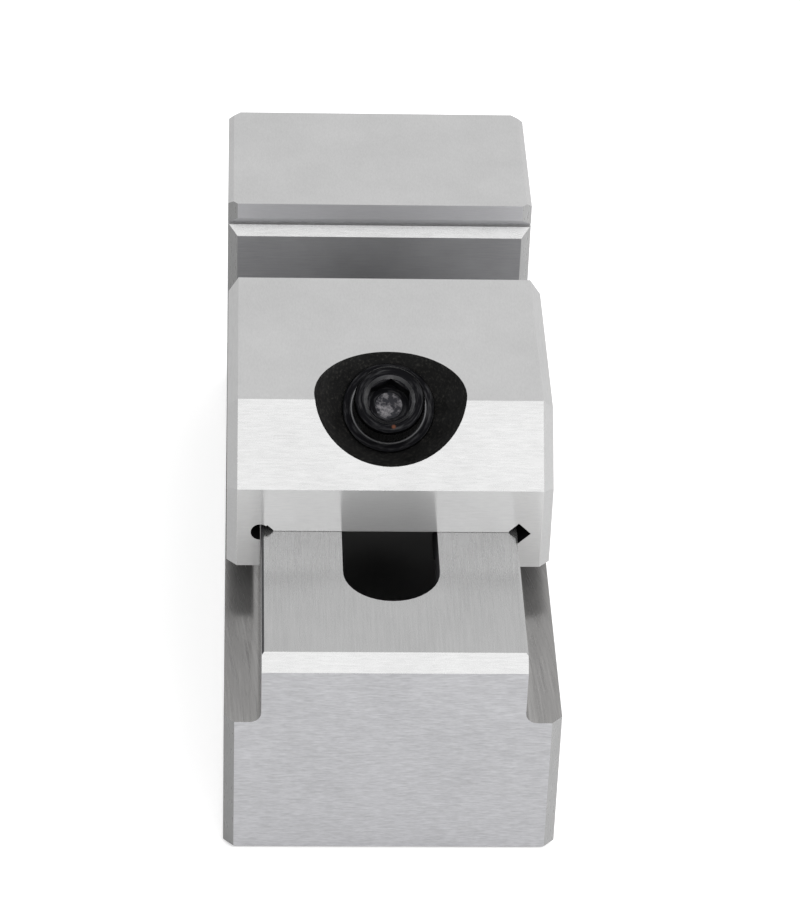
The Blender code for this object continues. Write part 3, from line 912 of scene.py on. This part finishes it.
def body_finish(centre, normal):
    """The finish of a face of the body."""
    if in_channel(centre):
        return slot_black
    if in_side_groove(centre):
        return scale_black
    if centre.z < LEDGE_TOP + LEDGE_FILLET and normal.z > LEANS and abs(centre.x) > RAIL_HALF - NEARBY:
        return steel_ledge
    if abs(normal.x) > SQUARE:
        # The rail's walls take the darker copy, painted shade.
        return steel_wall_shaded if abs(centre.x) < SIDE - WALL_MARGIN and centre.z < RAIL_TOP else steel_side
    if abs(normal.x) > LEANS and abs(normal.y) > LEANS:
        # The left corners take the darker copy, painted shade.
        return steel_corner_left if centre.x < 0 else steel_corner_right
    # Painted shade: the chamfer along the rail's left edge takes the slot's dark scale.
    if normal.x < -LEANS and normal.z > LEANS and centre.y < FIXED_FACE:
        return slot_black
    if normal.y < -LEANS and centre.y > FIXED_FACE - VEE_DEPTH:
        if normal.z > LEANS:
            return steel_slope
        # Below the vee groove the face takes the darker copy, painted shade from the moving jaw.
        return steel_face_shaded_low if centre.z < VEE_FOOT and normal.y < -SQUARE else steel_face
    if abs(normal.y) > LEANS:
        return steel_end if abs(normal.y) > END_LEAN else steel_slope
    return steel_top if centre.z > FIXED_TOP_FROM else steel_rail


finish_faces(body, body_finish)

# %% [markdown]
# ## The jaw's finishes
#
# The pocket is part of a ball, so its faces are known by their distance from the ball's centre, and the faces
# of the slanted hole by their distance from the screw's axis. The two small tunnels beside the rail's edges
# are known in the same way, by their distance from a line along the rail.

# %% Finish the jaw
POCKET_RADIUS = 17.0 * MM
POCKET_SKIN = 0.12 * MM
HOLE_REACH = 7.4 * MM
RELIEF_INSET = 0.3 * MM
RELIEF_REACH = 2.95 * MM
RELIEF_FOOT = RAIL_TOP - 2.7 * MM
JAW_SIDE_LEAN = 0.6


def jaw_finish(centre, normal):
    """The finish of a face of the moving jaw."""
    upright = TO_SCREW.inverted() @ centre
    on_ball = abs(upright.length - POCKET_RADIUS) < POCKET_SKIN
    in_hole = math.hypot(upright.x, upright.y) < HOLE_REACH and upright.z < 0
    from_relief = math.hypot(abs(centre.x) - RAIL_HALF - RELIEF_INSET, centre.z - RAIL_TOP + RELIEF_INSET)
    if on_ball or in_hole:
        return scale_black
    if from_relief < RELIEF_REACH and abs(normal.y) < LEANS and centre.z > RELIEF_FOOT:
        return relief_black
    if normal.z < -SQUARE:
        return scale_black
    if abs(normal.x) > JAW_SIDE_LEAN:
        return steel_side
    if normal.z > SQUARE:
        return steel_top
    if abs(normal.y) > SQUARE:
        return steel_jaw_front if normal.y < 0 else steel_jaw_back
    return steel_slope if abs(normal.y) > LEANS else steel_side


finish_faces(jaw, jaw_finish)

# %% [markdown]
# ## The screw's finishes
#
# The countersink is painted lighter, partly wear from the hexagon key and partly a painted highlight on its
# chamfer. The drill point at the bottom of the socket is lighter steel, a painted glint. Dirt and scale stay
# between the teeth of the knurl. The washer, the nut and the ring are oxide all over.

# %% Finish the screw, the washer, the nut and the ring
SIDE_ON, END_ON = 0.2, 0.95
CONE_BELOW = 0.97


def along_screw(centre, normal):
    """A face's distance from the screw's axis, its depth below the head's top, and its lean up the axis."""
    upright = TO_SCREW.inverted() @ centre
    return math.hypot(upright.x, upright.y), head_top - upright.z, (TO_SCREW.to_3x3().inverted() @ normal).z


def screw_finish(centre, normal):
    """Rubbed and painted highlight at the socket's mouth, painted glint at its drill point, scale on the
    knurl, oxide elsewhere.
    """
    radius, depth, facing = along_screw(centre, normal)
    if depth > HEAD_HEIGHT or radius > SOCKET_RIM:
        return scale_black if depth < HEAD_HEIGHT and abs(facing) < SIDE_ON else oxide_black
    # Countersink: lighter oxide, wear and a painted highlight.
    if SIDE_ON < facing < END_ON and depth < RIM_DEPTH:
        return rubbed_and_highlight_black
    # Drill point: painted glint.
    if radius < PILOT_RADIUS and depth > SOCKET_DEPTH and facing < CONE_BELOW:
        return socket_floor
    return oxide_black


finish_faces(screw, screw_finish)
for dark_piece in (washer, nut, ring):
    finish_faces(dark_piece, lambda centre, normal: oxide_black)

# %% [markdown]
# ## The studio
#
# Polished steel has hardly any colour of its own and shows the room instead. So the room is what is modelled:
# an even pale dome that is a little lighter on the right, a white sheet under the vise, and two soft lights.
# A panorama of a real room could light it too, but a few plain shapes are easier to adjust. The camera itself
# sees the dome as plain white, as on a cut-out product picture, and the Light Path node tells the two kinds
# of ray apart.

# %% Light the dome
DOME_LIGHT = 0.87
DOME_LEAN = 0.1
WHITE = (1, 1, 1)
world = bpy.data.worlds.new("studio")
bpy.context.scene.world = world
world.use_nodes = True
room = world.node_tree
sky = room.nodes["Background"]
direction = room.nodes.new("ShaderNodeTexCoord").outputs["Generated"]
rightwards, _, _ = parts_of(room, direction)
lit = maths(room, "ADD", maths(room, "MULTIPLY", rightwards, DOME_LEAN), DOME_LIGHT)
seen = room.nodes.new("ShaderNodeLightPath").outputs["Is Camera Ray"]
room.links.new(maths(room, "MAXIMUM", lit, seen), sky.inputs["Strength"])
feed(room, WHITE, sky.inputs["Color"])
print("dome, dark side to light side:", round(DOME_LIGHT - DOME_LEAN, 2), round(DOME_LIGHT + DOME_LEAN, 2))

# %% [markdown]
# ## The sheet
#
# The vise stands on a white sheet that catches its faint shadow. For the camera the sheet glows a little, so
# that its far edge melts into the dome, while the steel mirrors it as plain paper. Under the vise it is
# painted dark, which is painted shade, and doesn't glow, so that no light leaks up through the slot.

# %% Lay the sheet
SHEET_SIZE = 6.0
SHEET_DROP = 0.2 * MM
SHEET_TONE = (0.75, 0.75, 0.75)
SEEN_TONE = (0.95, 0.95, 0.95)
# Painted shade: the sheet is dark under the vise's footprint.
UNDER_VISE_SHADE_TONE = (0.25, 0.25, 0.25)
SHEET_ROUGH = 0.9
SHEET_GLOW = 0.35
FOOTPRINT = 34 * MM, 91.5 * MM
floor = primitive("floor", "plane", size=SHEET_SIZE, location=(0, 0, -SHEET_DROP))
sheet, sheet_shader = principled("white_sheet", 0.0, SHEET_TONE, SHEET_ROUGH)
sheet_shader.inputs["Specular IOR Level"].default_value = 0.0
tree = sheet.node_tree
seen = tree.nodes.new("ShaderNodeLightPath").outputs["Is Camera Ray"]
sideways, along, _ = parts_of(tree, object_place(tree))
past_side = maths(tree, "GREATER_THAN", maths(tree, "ABSOLUTE", sideways), FOOTPRINT[0])
past_end = maths(tree, "GREATER_THAN", maths(tree, "ABSOLUTE", along), FOOTPRINT[1])
outside = maths(tree, "MAXIMUM", past_side, past_end)
white = tint_between(tree, seen, SHEET_TONE, SEEN_TONE)
# Painted shade inside the footprint, plain white sheet outside it.
tree.links.new(tint_between(tree, outside, UNDER_VISE_SHADE_TONE, white), sheet_shader.inputs["Base Color"])
feed(tree, WHITE, sheet_shader.inputs["Emission Color"])
glow = maths(tree, "MULTIPLY", maths(tree, "MULTIPLY", seen, outside), SHEET_GLOW)
tree.links.new(glow, sheet_shader.inputs["Emission Strength"])
floor.data.materials.append(sheet)
print("sheet:", floor.dimensions.x, "m wide")

# %% [markdown]
# ## The soft lights
#
# A large square light hangs above the camera. The sloping faces mirror it, which is why they are the
# brightest. A smaller one stands low on the right and fills the sides. It is kept out of the mirror images,
# because at a low view from behind the ground tops would otherwise turn white and melt into the background.

# %% Hang the lights
AIM = Vector((0, 0, 50)) * MM


def soft_light(name, azimuth, elevation, distance, size, radiance):
    """A square area light that faces the vise. Azimuth is measured from the front end, to the right."""
    data = bpy.data.lights.new(name, "AREA")
    data.size = size
    data.energy = radiance * math.pi * size**2
    lamp = bpy.data.objects.new(name, data)
    bpy.context.scene.collection.objects.link(lamp)
    flat = math.cos(elevation)
    away = Vector((math.sin(azimuth) * flat, -math.cos(azimuth) * flat, math.sin(elevation)))
    lamp.location = AIM + distance * away
    lamp.rotation_euler = away.to_track_quat("Z", "Y").to_euler()
    lamp.visible_camera = False
    print(name, "watts:", round(data.energy, 2))
    return lamp


soft_light("box_over_camera", math.radians(8), math.radians(48), distance=0.85, size=0.85, radiance=0.6)
fill = soft_light("box_at_right", math.radians(68), math.radians(26), distance=0.6, size=0.4, radiance=2.5)
fill.visible_glossy = False
bpy.context.scene.view_settings.view_transform = "Standard"

# %% [markdown]
# ## Joining the moving bodies
#
# Every finished piece stands for a CAD node and rides on that node's body, so the jaw slides, the screw
# swings and turns, and the nut climbs in the finished model exactly as in the CAD one.

# %% Ride and replace
pairs = [
    (body, "vise_body", "base", "ground_steel"),
    (jaw, "moving_jaw", "jaw", "ground_steel"),
    (washer, "spherical_washer", "swivel", "black_steel"),
    (screw, "draw_screw", "screw", "black_steel"),
    (ring, "retaining_ring", "screw", "black_steel"),
    (nut, "cross_nut", "nut", "black_steel"),
]
for piece, node, carrier, finish_slot in pairs:
    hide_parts(node)
    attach(piece, carrier)
    print(piece.name, "triangles:", sum(len(p.vertices) - 2 for p in piece.data.polygons))
